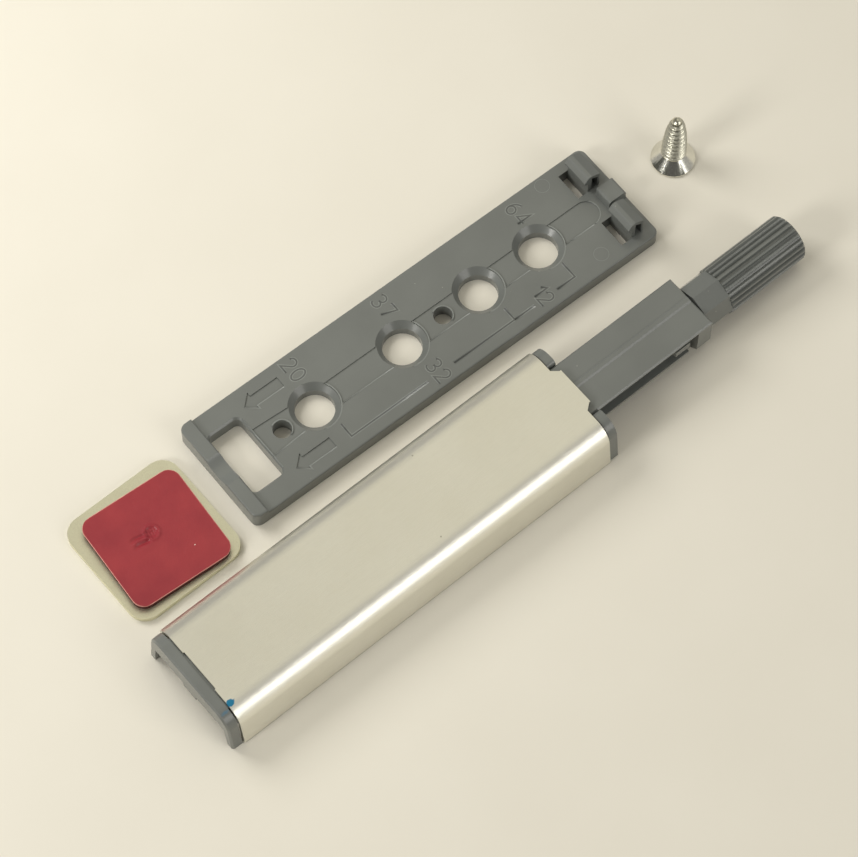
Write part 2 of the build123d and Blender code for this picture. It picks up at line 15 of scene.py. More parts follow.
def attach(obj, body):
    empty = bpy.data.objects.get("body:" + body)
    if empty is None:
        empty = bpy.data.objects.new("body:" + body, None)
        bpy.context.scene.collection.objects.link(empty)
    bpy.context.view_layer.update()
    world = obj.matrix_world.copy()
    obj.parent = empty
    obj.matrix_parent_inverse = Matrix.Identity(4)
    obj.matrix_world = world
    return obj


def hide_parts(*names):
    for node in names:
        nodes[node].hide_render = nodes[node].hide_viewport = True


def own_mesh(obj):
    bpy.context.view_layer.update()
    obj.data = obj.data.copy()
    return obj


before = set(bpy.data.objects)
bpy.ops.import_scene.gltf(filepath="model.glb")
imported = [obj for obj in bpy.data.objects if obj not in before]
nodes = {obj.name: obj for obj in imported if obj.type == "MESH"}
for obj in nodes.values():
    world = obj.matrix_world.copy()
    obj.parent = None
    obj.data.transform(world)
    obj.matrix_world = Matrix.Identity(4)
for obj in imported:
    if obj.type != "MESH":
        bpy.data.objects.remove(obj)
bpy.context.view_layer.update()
MM = 0.001
print("nodes in the frame:", sorted(nodes))

# %% [markdown]
# ## The camera
#
# The picture looks down at the pieces from a height of about sixty-five degrees, with
# the catch running from the lower left to the upper right. A long lens keeps its edges
# nearly parallel. The camera's own three directions are worked out first, because the
# lamps are placed by them too: left, right, above and below are then as in the picture.

# %% Place the camera
AZIMUTH = np.radians(-39.74)
ELEVATION = np.radians(64.53)
CAMERA_DISTANCE = 541 * MM
TARGET = np.array([18.02, 11.84, 0.0]) * MM
SENSOR = 36.0
LENS = 148.87
NEAREST_SEEN = 0.01

back = np.array([
    np.sin(AZIMUTH) * np.cos(ELEVATION),
    -np.cos(AZIMUTH) * np.cos(ELEVATION),
    np.sin(ELEVATION),
])
right = np.array([np.cos(AZIMUTH), np.sin(AZIMUTH), 0.0])
up = np.cross(back, right)


def add_object(name, data):
    """Make an object from its data and put it in the scene."""
    made = bpy.data.objects.new(name, data)
    bpy.context.scene.collection.objects.link(made)
    return made


def aim(thing, place):
    """Put a camera or lamp at a place and turn its -Z axis to the target."""
    thing.location = Vector(place)
    thing.rotation_mode = "QUATERNION"
    thing.rotation_quaternion = Vector(TARGET - place).to_track_quat("-Z", "Y")


camera_data = bpy.data.cameras.new("camera")
camera_data.lens = LENS
camera_data.sensor_width = SENSOR
camera_data.clip_start = NEAREST_SEEN
camera = add_object("camera", camera_data)
aim(camera, TARGET + back * CAMERA_DISTANCE)
bpy.context.scene.camera = camera
bpy.context.scene.view_settings.view_transform = "Standard"
print("camera at", [round(value, 4) for value in camera.location])

# %% [markdown]
# ## Small helpers for materials
#
# A node tree is easier to read when a node is made, wired and given its values in one
# call. `node` does that: a value in `inputs` is either a number, which is set on the
# socket, or another node's output, which is linked to it.


# %% Node helpers
def node(tree, kind, inputs=None, **settings):
    """Make one node, set its properties and fill its input sockets."""
    made = tree.nodes.new(kind)
    for name, value in settings.items():
        setattr(made, name, value)
    for name, value in (inputs or {}).items():
        if isinstance(value, bpy.types.NodeSocket):
            tree.links.new(value, made.inputs[name])
        else:
            made.inputs[name].default_value = value
    return made


def math_node(tree, operation, first, second=0.0):
    """A Math node with two operands, each a number or a socket."""
    return node(tree, "ShaderNodeMath", {0: first, 1: second}, operation=operation).outputs[0]


def vector_node(tree, operation, first, second=(0, 0, 0)):
    """A Vector Math node; a length or a dot product comes out as its value."""
    made = node(tree, "ShaderNodeVectorMath", {0: first, 1: second}, operation=operation)
    return made.outputs["Value" if operation in ("LENGTH", "DOT_PRODUCT") else "Vector"]


def map_range(tree, value, source=(0.0, 1.0), target=(0.0, 1.0)):
    """Carry a value from one span to another, and hold it at both ends."""
    limits = {1: source[0], 2: source[1], 3: target[0], 4: target[1]}
    return node(tree, "ShaderNodeMapRange", {0: value, **limits}).outputs[0]


def noise(tree, place, scale, detail):
    """Smooth noise around one half, read at a place."""
    inputs = {"Vector": place, "Scale": scale, "Detail": detail}
    return node(tree, "ShaderNodeTexNoise", inputs).outputs[0]


def mix_colour(tree, factor, first, second):
    """Blend two colours by a factor between 0 and 1."""
    return node(tree, "ShaderNodeMix", {0: factor, 6: first, 7: second}, data_type="RGBA").outputs[2]


def tint(tree, colour, mask, share, over):
    """Lay a second colour over the first where a mask says so, at a share of its strength."""
    return mix_colour(tree, math_node(tree, "MULTIPLY", mask, share), colour, over)


def new_group(name, inputs, outputs):
    """An empty shader node group with named sockets, and its input and output nodes."""
    group = bpy.data.node_groups.new(name, "ShaderNodeTree")
    for label, kind, value in inputs:
        socket = group.interface.new_socket(label, in_out="INPUT", socket_type=kind)
        socket.default_value = value
    for label, kind in outputs:
        group.interface.new_socket(label, in_out="OUTPUT", socket_type=kind)
    source = group.nodes.new("NodeGroupInput").outputs
    sink = group.nodes.new("NodeGroupOutput").inputs
    return group, source, sink


def use_group(tree, group, **values):
    """Place a shared group in a material, with its own values."""
    placed = tree.nodes.new("ShaderNodeGroup")
    placed.node_tree = group
    for label, value in values.items():
        placed.inputs[label].default_value = value
    return placed.outputs


# %% [markdown]
# ## Effects that several finishes share
#
# Moulded plastic, brushed metal and zinc all show a fine pattern in the surface, a slow
# drift in tone and a few specks. Each of these is one node group, made once. Brushing is
# the same noise as moulded grain, only stretched along the plunger. All patterns read
# Object coordinates, turned into millimetres, so a scale of 2 means two cells a millimetre.

# %% Shared groups: grain, drift, specks and spot
FLOAT = "NodeSocketFloat"
VECTOR = "NodeSocketVector"
RELIEF_HEIGHT = 0.1 * MM
DRIFT_SPAN = (0.32, 0.68)
DRIFT_DETAIL = 4.0
RAGGED_SCALE = 2.5
RAGGED_DETAIL = 3.0


def millimetres(tree):
    """Object coordinates in millimetres."""
    place = node(tree, "ShaderNodeTexCoord").outputs["Object"]
    return vector_node(tree, "MULTIPLY", place, (1 / MM, 1 / MM, 1 / MM))


def make_grain():
    """Fine noise, stretched by a vector, as a value and as a bumped normal."""
    group, source, sink = new_group(
        "fine_grain",
        [("Stretch", VECTOR, (1, 1, 1)), ("Depth", FLOAT, 0.1), ("Detail", FLOAT, 3.0)],
        [("Value", FLOAT), ("Normal", VECTOR)],
    )
    place = vector_node(group, "MULTIPLY", millimetres(group), source["Stretch"])
    value = noise(group, place, 1.0, source["Detail"])
    relief = {"Strength": source["Depth"], "Distance": RELIEF_HEIGHT, "Height": value}
    group.links.new(value, sink["Value"])
    group.links.new(node(group, "ShaderNodeBump", relief).outputs[0], sink["Normal"])
    return group


def make_drift():
    """Slow change of tone: wide noise pulled towards black or white."""
    group, source, sink = new_group("tone_drift", [("Size", FLOAT, 12.0)], [("Value", FLOAT)])
    scale = math_node(group, "DIVIDE", 1.0, source["Size"])
    wide = noise(group, millimetres(group), scale, DRIFT_DETAIL)
    group.links.new(map_range(group, wide, DRIFT_SPAN), sink["Value"])
    return group


def make_specks():
    """Sparse round specks: the middle of a few cells of a cell pattern."""
    group, source, sink = new_group(
        "specks",
        [("Cell", FLOAT, 4.0), ("Radius", FLOAT, 0.05), ("Share", FLOAT, 0.3)],
        [("Mask", FLOAT)],
    )
    scale = math_node(group, "DIVIDE", 1.0, source["Cell"])
    cells = node(group, "ShaderNodeTexVoronoi", {"Vector": millimetres(group), "Scale": scale})
    near = math_node(group, "LESS_THAN", cells.outputs["Distance"], source["Radius"])
    pick = node(group, "ShaderNodeSeparateColor", {0: cells.outputs["Color"]})
    kept = math_node(group, "LESS_THAN", pick.outputs[0], source["Share"])
    group.links.new(math_node(group, "MULTIPLY", near, kept), sink["Mask"])
    return group


def make_spot():
    """One ragged spot: distance from a centre, in units of its half sizes, with a noisy rim."""
    inputs = [
        ("Centre", VECTOR, (0, 0, 0)),
        ("Half", VECTOR, (1, 1, 1)),
        ("Ragged", FLOAT, 0.3),
        ("Rim", FLOAT, 0.2),
    ]
    group, source, sink = new_group("spot", inputs, [("Mask", FLOAT)])
    place = millimetres(group)
    offset = vector_node(group, "SUBTRACT", place, source["Centre"])
    distance = vector_node(group, "LENGTH", vector_node(group, "DIVIDE", offset, source["Half"]))
    wobble = math_node(group, "SUBTRACT", noise(group, place, RAGGED_SCALE, RAGGED_DETAIL), 0.5)
    shift = math_node(group, "MULTIPLY", wobble, source["Ragged"])
    edge = math_node(group, "ADD", distance, math_node(group, "MULTIPLY", shift, 2.0))
    inner = math_node(group, "SUBTRACT", 1.0, source["Rim"])
    group.links.new(map_range(group, edge, (inner, 1.0), (1.0, 0.0)), sink["Mask"])
    return group


grain = make_grain()
drift = make_drift()
specks = make_specks()
spot = make_spot()
print("shared groups:", [group.name for group in (grain, drift, specks, spot)])

# %% [markdown]
# ## The finishes
#
# Each material is one function. Colours that are the same everywhere sit on the shader;
# only what changes over the surface is wired in. The metals are fully metallic and take
# their look from the pale room that they reflect, so their roughness matters most.


# %% Start a material
def start(name, colour, roughness, metallic=0.0, specular=0.5):
    """A new material with its shader; returns material, tree and shader."""
    material = bpy.data.materials.new(name)
    material.use_nodes = True
    tree = material.node_tree
    shader = tree.nodes["Principled BSDF"]
    shader.inputs["Base Color"].default_value = (*colour, 1)
    shader.inputs["Roughness"].default_value = roughness
    shader.inputs["Metallic"].default_value = metallic
    shader.inputs["Specular IOR Level"].default_value = specular
    return material, tree, shader


def wire(tree, shader, colour, relief=None, limits=None):
    """Link a colour and a grain's normal; between two limits the grain sets the roughness too."""
    tree.links.new(colour, shader.inputs["Base Color"])
    if relief is not None:
        tree.links.new(relief["Normal"], shader.inputs["Normal"])
    if limits is not None:
        tree.links.new(map_range(tree, relief["Value"], target=limits), shader.inputs["Roughness"])


# %% Grey moulded plastic
PEN_BLUE = (0.008, 0.17, 0.31, 1)
PALE_DUST = (0.55, 0.53, 0.47, 1)
STREAK_CENTRE = (-36.2, -7.35, 8.3)
STREAK_HALF = (1.0, 0.30, 1.2)


def moulded_plastic(name, tone=1.0, pen=False):
    """Satin grey moulding: fine eroded grain, slow drift in tone, a little pale dust."""
    grey = np.array([0.139, 0.147, 0.138]) * tone
    material, tree, shader = start(name, grey, 0.40, specular=0.5)
    shader.inputs["Coat Weight"].default_value = 0.45
    shader.inputs["Coat Roughness"].default_value = 0.16
    slow = use_group(tree, drift, Size=9.0)["Value"]
    fine = use_group(tree, grain, Stretch=(7, 7, 7), Depth=0.10)
    dust = use_group(tree, specks, Cell=2.6, Radius=0.035, Share=0.35)["Mask"]
    colour = mix_colour(tree, slow, (*(grey * 0.94), 1), (*(grey * 1.06), 1))
    colour = tint(tree, colour, dust, 0.35, PALE_DUST)
    if pen:
        streak = use_group(tree, spot, Centre=STREAK_CENTRE, Half=STREAK_HALF, Ragged=0.6, Rim=0.6)
        colour = tint(tree, colour, streak["Mask"], 0.4, PEN_BLUE)
    wire(tree, shader, colour, fine, (0.33, 0.46))
    return material


# %% Brushed metal cover
BRIGHT_BAND = (0.94, 0.93, 0.86, 1)
WARM_CLOUD = (0.76, 0.735, 0.63, 1)
DARK_SPECK = (0.25, 0.23, 0.18, 1)
BLOT_CENTRE = (-34.75, -6.75, 8.5)
BLOT_HALF = (0.80, 0.58, 1.2)


def brushed_metal():
    """Sheet brushed along the plunger: fine and coarse streaks in tone, roughness and relief."""
    material, tree, shader = start("brushed_cover", (0.86, 0.84, 0.77), 0.36, metallic=1.0)
    streaks = use_group(tree, grain, Stretch=(0.7, 11, 11), Depth=0.24, Detail=4.0)
    wide = use_group(tree, grain, Stretch=(0.20, 2.6, 2.6), Depth=0.1, Detail=3.0)
    slow = use_group(tree, drift, Size=11.0)["Value"]
    dark = use_group(tree, specks, Cell=5.0, Radius=0.03, Share=0.25)["Mask"]
    colour = mix_colour(tree, streaks["Value"], (0.81, 0.79, 0.71, 1), (0.91, 0.90, 0.83, 1))
    band = map_range(tree, wide["Value"], (0.35, 0.65), (0.0, 0.13))
    colour = mix_colour(tree, band, colour, BRIGHT_BAND)
    colour = tint(tree, colour, slow, 0.26, WARM_CLOUD)
    colour = tint(tree, colour, dark, 0.5, DARK_SPECK)
    pen = use_group(tree, spot, Centre=BLOT_CENTRE, Half=BLOT_HALF, Ragged=0.35)["Mask"]
    colour = mix_colour(tree, pen, colour, PEN_BLUE)
    metal = math_node(tree, "SUBTRACT", 1.0, math_node(tree, "MULTIPLY", pen, 0.8))
    tree.links.new(metal, shader.inputs["Metallic"])
    wire(tree, shader, colour, streaks, (0.29, 0.48))
    return material


# %% Galvanised strike plate, zinc screw and spring steel
def speckled_metal(name, colour, roughness, cell, depth):
    """Coated steel: mottled tone and a pitted relief of the given cell size."""
    colour = np.array(colour)
    material, tree, shader = start(name, colour, roughness, metallic=1.0)
    mottle = use_group(tree, grain, Stretch=(1 / cell,) * 3, Depth=depth, Detail=5.0)
    slow = use_group(tree, drift, Size=4.0)["Value"]
    tone = mix_colour(tree, mottle["Value"], (*(colour * 0.8), 1), (*np.minimum(colour * 1.15, 1), 1))
    tone = tint(tree, tone, slow, 0.4, (*(colour * 0.85), 1))
    wire(tree, shader, tone, mottle, (roughness - 0.07, roughness + 0.10))
    return material


# %% Red film and dark foam
CHIP_CENTRE = (-21.85, 18.6, 2.3)
CHIP_HALF = (0.11, 0.09, 0.5)
PALE_CHIP = (0.75, 0.68, 0.62, 1)


def liner_film():
    """Thin red film over an uneven adhesive: satin, with a soft orange-peel relief."""
    material, tree, shader = start("red_liner", (0.275, 0.022, 0.032), 0.34, specular=0.5)
    peel = use_group(tree, grain, Stretch=(1.1, 1.1, 1.1), Depth=0.5)
    slow = use_group(tree, drift, Size=5.0)["Value"]
    colour = mix_colour(tree, slow, (0.255, 0.020, 0.030, 1), (0.305, 0.028, 0.036, 1))
    chip = use_group(tree, spot, Centre=CHIP_CENTRE, Half=CHIP_HALF, Ragged=0.2)["Mask"]
    colour = mix_colour(tree, chip, colour, PALE_CHIP)
    wire(tree, shader, colour, peel, (0.28, 0.42))
    return material


def film_edge():
    """The film's cut edge, where light comes through it: pale salmon, broken by small nicks."""
    material, tree, shader = start("red_liner_edge", (0.60, 0.24, 0.20), 0.45)
    nicks = use_group(tree, grain, Stretch=(2.0, 2.0, 2.0), Depth=0.2, Detail=4.0)
    colour = mix_colour(tree, nicks["Value"], (0.42, 0.10, 0.09, 1), (0.80, 0.44, 0.36, 1))
    wire(tree, shader, colour)
    return material


def foam():
    """Dark closed-cell foam: rough, with small pits."""
    material, tree, shader = start("foam_pad", (0.11, 0.03, 0.03), 0.85, specular=0.2)
    cells = use_group(tree, grain, Stretch=(9, 9, 9), Depth=0.8, Detail=5.0)
    colour = mix_colour(tree, cells["Value"], (0.05, 0.014, 0.015, 1), (0.18, 0.055, 0.05, 1))
    wire(tree, shader, colour, cells)
    return material


# %% [markdown]
# ## Dress the solids
#
# Most nodes already have their true form and only need their finish. A table says which
# material goes on which node. The pen mark is wanted on one moulding only, so the housing
# has its own copy of the grey plastic.

# %% Put the finishes on the nodes
grey = moulded_plastic("grey_plastic")
grey_marked = moulded_plastic("grey_plastic_marked", pen=True)
# A darker copy of the grey plastic: painted shade for the moulded lines.
grey_painted_shade = moulded_plastic("grey_plastic_painted_shade", tone=0.64)
# A paler copy of the grey plastic: painted highlight along edges and rims.
grey_painted_highlight = moulded_plastic("grey_plastic_painted_highlight", tone=1.42)
steel = speckled_metal("spring_steel", (0.55, 0.55, 0.54), 0.30, 0.3, 0.1)
zinc = speckled_metal("zinc_screw", (0.82, 0.81, 0.74), 0.13, 0.35, 0.06)
zinc_thread = speckled_metal("zinc_screw_thread", (0.74, 0.72, 0.60), 0.28, 0.22, 0.35)
# A darker zinc for the thread's groove: painted shade.
zinc_groove_painted_shade = speckled_metal("zinc_screw_groove_painted_shade", (0.36, 0.35, 0.29), 0.40, 0.22, 0.35)
galvanised = speckled_metal("galvanised_steel", (0.92, 0.88, 0.68), 0.40, 0.18, 0.34)
nickel = speckled_metal("magnet", (0.66, 0.65, 0.62), 0.22, 0.5, 0.05)
red_film = liner_film()
red_edge = film_edge()
dark_foam = foam()
finishes = {
    "housing": grey_marked,
    "metal_cover": brushed_metal(),
    "carriage": grey,
    "adjuster_tip": grey,
    "mounting_plate": grey,
    "spring_guide_rod": steel,
    "drive_spring": steel,
    "latch_follower": steel,
    "follower_spring": steel,
    "magnet_cup": steel,
    "tip_magnet": nickel,
    "strike_plate": galvanised,
    "adhesive_pad": dark_foam,
    "release_liner": red_film,
    "mounting_screw": zinc,
}


def dress(piece, material):
    """Give a piece one material in its only slot."""
    piece.data.materials.clear()
    piece.data.materials.append(material)


for name, material in finishes.items():
    dress(nodes[name], material)
print("dressed", len(finishes), "nodes")

# %% [markdown]
# ## Surfaces from grids
#
# New pieces are surfaces worked out with numpy. A grid of points, rows by columns, is
# joined into quads; either direction may close on itself. A tube is a grid whose columns
# close, with a cap on its first and last row. Everything after this is a matter of
# writing down where the point in row i and column j lies.


# %% Grid to mesh
def grid_faces(rows, columns, close_rows=False, close_columns=False):
    """Indices of the quads of a grid, with the last row or column joined to the first."""
    row = np.arange(rows if close_rows else rows - 1)
    column = np.arange(columns if close_columns else columns - 1)
    i, j = np.meshgrid(row, column, indexing="ij")
    next_i = (i + 1) % rows
    next_j = (j + 1) % columns
    corners = [i * columns + j, next_i * columns + j, next_i * columns + next_j, i * columns + next_j]
    return np.stack(corners, axis=-1).reshape(-1, 4)


def end_caps(rows, columns):
    """One face over the first row of a tube and one over the last."""
    return [list(range(columns)), list(range((rows - 1) * columns, rows * columns))[::-1]]


def tube_faces(rows, columns):
    """Faces of a capped tube whose columns run round it."""
    wall = grid_faces(rows, columns, close_columns=True)
    return [list(face) for face in wall] + end_caps(rows, columns)


def make_piece(name, points, faces, material, smooth=True):
    """A mesh object from points in millimetres and lists of faces."""
    mesh = bpy.data.meshes.new(name)
    mesh.from_pydata((np.asarray(points) * MM).tolist(), [], [list(map(int, face)) for face in faces])
    mesh.polygons.foreach_set("use_smooth", np.full(len(mesh.polygons), smooth))
    mesh.validate()
    mesh.update()
    mesh.materials.append(material)
    piece = add_object(name, mesh)
    print(name, len(mesh.polygons), "faces")
    return piece


# %% [markdown]
# ## Moulded lines on the mounting plate
#
# The plate carries thin raised lines: the holes' distances from the panel's front edge,
# brackets between the holes, and the round marks that ejector pins left in the moulding.
# Each is a path with a low rounded ridge carried along it. The ridge is mitred at corners:
# its cross direction there is halfway between those of the two runs, and a little longer,
# so that the width stays the same. The lines are in a darker grey, which is painted shade.
# Under each dark line lies a wider, lower and paler one, a painted highlight along its
# edges. The rims of the holes, the strip and the arrows have a slight round that catches
# the light, and that light is painted with the same pale ridge; so is a ring round each
# ejector mark.

# %% Ridge along a path
PLATE_ORIGIN = np.array([-13.74, 25.34])
PLATE_TURN = np.radians(-1.2)
PLATE_TOP = 2.6
LINE_SIZE = (0.34, 0.05)
HIGHLIGHT_EDGE_SIZE = (0.78, 0.022)
RIM_SIZE = (0.26, 0.035)
RING_SIZE = (0.13, 0.02)
RIDGE_SINK = 0.05
RIDGE_COLUMNS = 7

plate_x = np.array([np.cos(PLATE_TURN), np.sin(PLATE_TURN)])
plate_y = np.array([-np.sin(PLATE_TURN), np.cos(PLATE_TURN)])


def ridge(path, closed, size):
    """Points and faces of a ridge: half of a flattened ellipse, of the given width and height."""
    width, top = size
    path = np.asarray(path, float)
    ahead = np.roll(path, -1, axis=0) - path
    behind = path - np.roll(path, 1, axis=0)
    if not closed:
        ahead[-1] = behind[-1]
        behind[0] = ahead[0]
    ahead /= np.linalg.norm(ahead, axis=1, keepdims=True)
    behind /= np.linalg.norm(behind, axis=1, keepdims=True)
    across_ahead = np.stack([-ahead[:, 1], ahead[:, 0]], axis=1)
    across_behind = np.stack([-behind[:, 1], behind[:, 0]], axis=1)
    mitre = across_ahead + across_behind
    mitre /= np.sum(mitre * across_ahead, axis=1, keepdims=True)
    angle = np.linspace(0, np.pi, RIDGE_COLUMNS)
    side = np.cos(angle) * width / 2
    rise = np.sin(angle) * (top + RIDGE_SINK) - RIDGE_SINK
    flat = path[:, None, :] + mitre[:, None, :] * side[None, :, None]
    world = PLATE_ORIGIN + flat[..., :1] * plate_x + flat[..., 1:] * plate_y
    height = np.broadcast_to(PLATE_TOP + rise, world.shape[:2])
    points = np.concatenate([world, height[..., None]], axis=-1).reshape(-1, 3)
    wall = grid_faces(len(path), RIDGE_COLUMNS, close_rows=closed, close_columns=True)
    faces = [list(face[::-1]) for face in wall]
    return points, faces if closed else faces + end_caps(len(path), RIDGE_COLUMNS)


# %% [markdown]
# The numbers are drawn as a draughtsman would with a single pen line. Each digit is a
# few strokes in a box one unit high, with its curves as arcs. On the plate they read
# across it, with their tops towards its hooked end.


# %% Digits as strokes
def arc(centre_x, centre_y, radius_x, radius_y, start_deg, end_deg, steps=14):
    """Points of an elliptic arc: centre plus radius times cosine and sine."""
    angle = np.radians(np.linspace(start_deg, end_deg, steps))
    return np.stack([centre_x + radius_x * np.cos(angle), centre_y + radius_y * np.sin(angle)], axis=1)


def round_arc(centre_x, centre_y, radius, start_deg, end_deg, steps):
    """Points of a round arc, for the rims of holes and marks."""
    return arc(centre_x, centre_y, radius, radius, start_deg, end_deg, steps)


STROKES = {
    "0": [(arc(0.3, 0.5, 0.3, 0.5, 0, 336, 20), True)],
    "1": [(np.array([(0.08, 0.72), (0.36, 1.0), (0.36, 0.0)]), False)],
    "2": [(np.vstack([arc(0.3, 0.71, 0.28, 0.29, 170, -35), [(0.02, 0.0), (0.62, 0.0)]]), False)],
    "3": [
        (arc(0.28, 0.75, 0.27, 0.25, 150, -90), False),
        (arc(0.28, 0.25, 0.30, 0.25, 90, -150), False),
    ],
    "4": [(np.array([(0.46, 0.0), (0.46, 1.0), (0.02, 0.28), (0.64, 0.28)]), False)],
    "6": [
        (arc(0.31, 0.30, 0.28, 0.30, 0, 336, 18), True),
        (arc(0.66, 0.30, 0.63, 0.70, 180, 105), False),
    ],
    "7": [(np.array([(0.0, 1.0), (0.6, 1.0), (0.22, 0.0)]), False)],
}
DIGIT_HEIGHT = 2.5
DIGIT_STEP = 2.2
NARROW_STEP = 1.45


def number_paths(text, baseline_x, first_y):
    """Strokes of a number that reads towards -Y, with its tops towards +X."""
    paths = []
    for digit in text:
        for stroke, closed in STROKES[digit]:
            along = baseline_x + stroke[:, 1] * DIGIT_HEIGHT
            across = first_y - stroke[:, 0] * DIGIT_HEIGHT
            paths.append((np.stack([along, across], axis=1), closed))
        first_y -= NARROW_STEP if digit == "1" else DIGIT_STEP
    return paths


# %% Brackets, numbers, ejector marks and rims
BRACKET_Y = -7.5
NUMBERS = [
    ("20", 20.05, 8.75),
    ("37", 37.6, 8.75),
    ("64", 64.1, 8.55),
    ("32", 37.3, -5.15),
    ("12", 58.05, -5.45),
]
BRACKETS = [
    [(21.3, -4.9), (21.3, BRACKET_Y), (36.1, BRACKET_Y)],
    [(41.2, BRACKET_Y), (53.15, BRACKET_Y), (53.15, -5.0)],
    [(53.15, BRACKET_Y), (57.1, BRACKET_Y)],
    [(61.6, BRACKET_Y), (65.15, BRACKET_Y), (65.15, -4.4)],
]
EJECTOR_MARKS = [(71.4, 8.1), (70.9, -7.0)]
EJECTOR_RADIUS = 1.2
SCREW_PLACES = (20.0, 37.0, 52.0, 64.0)
RIM_RADIUS = 4.22
PEG_PLACES = (13.8, 45.0)
PEG_RADIUS = 1.5
PEG_RIM_RADIUS = 1.62
STRIP_RUNS = [
    [(9.9, -2.85), (16.4, -2.45)],
    [(23.5, -2.3), (33.5, -2.3)],
    [(40.5, -2.3), (48.5, -2.3)],
    [(55.5, -2.3), (60.5, -2.3)],
    [(67.5, -2.3), (73.4, -2.3)],
]
STRIP_END = 73.6
STRIP_RADIUS = 2.3
ARROW_EDGE = np.array([(11.5, 0.0), (13.35, -1.7), (13.35, -1.0), (18.5, -1.0)])
ARROW_OFFSET = 6.5
WINDOW_EDGE = np.array([(10.1, 5.1), (10.1, -5.1)])


def ridge_piece(name, ridges, material):
    """One piece made of many ridges, each given as path, closed or not, and size."""
    all_points = []
    all_faces = []
    first = 0
    for path, closed, size in ridges:
        points, faces = ridge(path, closed, size)
        all_points.append(points)
        all_faces += [[index + first for index in face] for face in faces]
        first += len(points)
    piece = make_piece(name, np.vstack(all_points), all_faces, material)
    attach(piece, "catch")


lines = [(np.array(bracket), False) for bracket in BRACKETS]
for text, baseline_x, first_y in NUMBERS:
    lines += number_paths(text, baseline_x, first_y)
rims = [np.array(run) for run in STRIP_RUNS]
rims += [ARROW_EDGE + np.array([0, side * ARROW_OFFSET]) for side in (-1, 1)]
rims.append(WINDOW_EDGE)
rims += [round_arc(place, 0, RIM_RADIUS, -105, 30, 30) for place in SCREW_PLACES]
rims += [round_arc(place, 0, PEG_RIM_RADIUS, -70, 125, 24) for place in PEG_PLACES]
rims.append(round_arc(STRIP_END, 0, STRIP_RADIUS, -90, 45, 20))
rings = [round_arc(*mark, EJECTOR_RADIUS, 0, 345, 24) for mark in EJECTOR_MARKS]
# The moulded lines take the darker grey: painted shade.
ridge_piece("plate_markings", [(*line, LINE_SIZE) for line in lines], grey_painted_shade)
# The wider ridges under the lines and the ridges on rims, strip, arrows and ejector marks take the paler
# grey: painted highlight.
pale = [(*line, HIGHLIGHT_EDGE_SIZE) for line in lines]
pale += [(rim, False, RIM_SIZE) for rim in rims]
pale += [(ring, True, RING_SIZE) for ring in rings]
ridge_piece("plate_painted_highlights", pale, grey_painted_highlight)

# %% [markdown]
# Two small holes for the housing's pegs go right through the plate, so the paper shows in
# them. A copy of the plate's solid is cut with two cylinders and stands for it.

# %% Plate with its peg holes cut through
SHARP_ANGLE = np.radians(30)
MERGE_DISTANCE = 0.001
CUTTER_SIDES = 64


def merged_copy(source, name):
    """A copy of a node whose loose triangles share their corners again."""
    mesh = source.data.copy()
    mesh.name = name
    shape = bmesh.new()
    shape.from_mesh(mesh)
    bmesh.ops.remove_doubles(shape, verts=shape.verts, dist=MERGE_DISTANCE * MM)
    shape.to_mesh(mesh)
    shape.free()
    return add_object(name, mesh)


def peg_cutter():
    """Two upright cylinders at the peg holes, taller than the plate is thick."""
    shape = bmesh.new()
    for place in PEG_PLACES:
        centre = (PLATE_ORIGIN + place * plate_x) * MM
        stand = Matrix.Translation((*centre, PLATE_TOP / 2 * MM))
        size = {"radius1": PEG_RADIUS * MM, "radius2": PEG_RADIUS * MM, "depth": 2 * PLATE_TOP * MM}
        bmesh.ops.create_cone(shape, cap_ends=True, segments=CUTTER_SIDES, matrix=stand, **size)
    mesh = bpy.data.meshes.new("peg_cutter")
    shape.to_mesh(mesh)
    shape.free()
    return add_object("peg_cutter", mesh)


uncut = merged_copy(nodes["mounting_plate"], "plate_uncut")
cutter = peg_cutter()
cut = uncut.modifiers.new("peg holes", "BOOLEAN")
cut.operation = "DIFFERENCE"
cut.solver = "EXACT"
cut.object = cutter
bpy.context.view_layer.update()
result = bpy.data.meshes.new_from_object(uncut.evaluated_get(bpy.context.evaluated_depsgraph_get()))
points = np.array([vertex.co for vertex in result.vertices]) / MM
faces = [list(polygon.vertices) for polygon in result.polygons]
for spent in (uncut, cutter):
    bpy.data.objects.remove(spent)
plate_body = make_piece("plate_body", points, faces, grey)
plate_body.data.set_sharp_from_angle(angle=SHARP_ANGLE)
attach(plate_body, "catch")
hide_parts("mounting_plate")

# %% [markdown]
# ## The screw and its thread
#
# A wood screw is a surface of revolution whose radius also depends on the angle. Along
# the shaft the radius is the core plus a tooth, and the tooth's place moves up by one
# pitch each turn. The tooth fades out at the head and at the point. The screw stands on
# its head, so the cross recess is out of sight below, and a flat cap closes the surface.

# %% Threaded screw
SCREW_X = 77.94
SCREW_Y = 23.58
SCREW_HEIGHT = 12.0
HEAD_RADIUS = 3.55
HEAD_ROUND = 0.12
HEAD_RIM = 0.4
HEAD_CONE = 2.0
NECK_RADIUS = 1.82
THREAD_DEPTH = 0.42
THREAD_PITCH = 1.0
THREAD_START = 2.3
FADE_IN = 0.5
FADE_OUT = 1.2
GROOVE_LEVEL = 0.25
SCREW_ROWS = 480
SCREW_COLUMNS = 72
CREST_HEIGHTS = [2.2, 5.1, 8.2, 10.0, 11.0, 11.6, 11.9, 12.0]
CREST_RADII = [2.05, 1.97, 1.70, 1.38, 1.08, 0.76, 0.45, 0.14]


def thread_tooth(phase):
    """Rounded tooth, 0 to 1, over one pitch: a raised cosine, squared."""
    return (0.5 + 0.5 * np.cos(2 * np.pi * phase)) ** 2


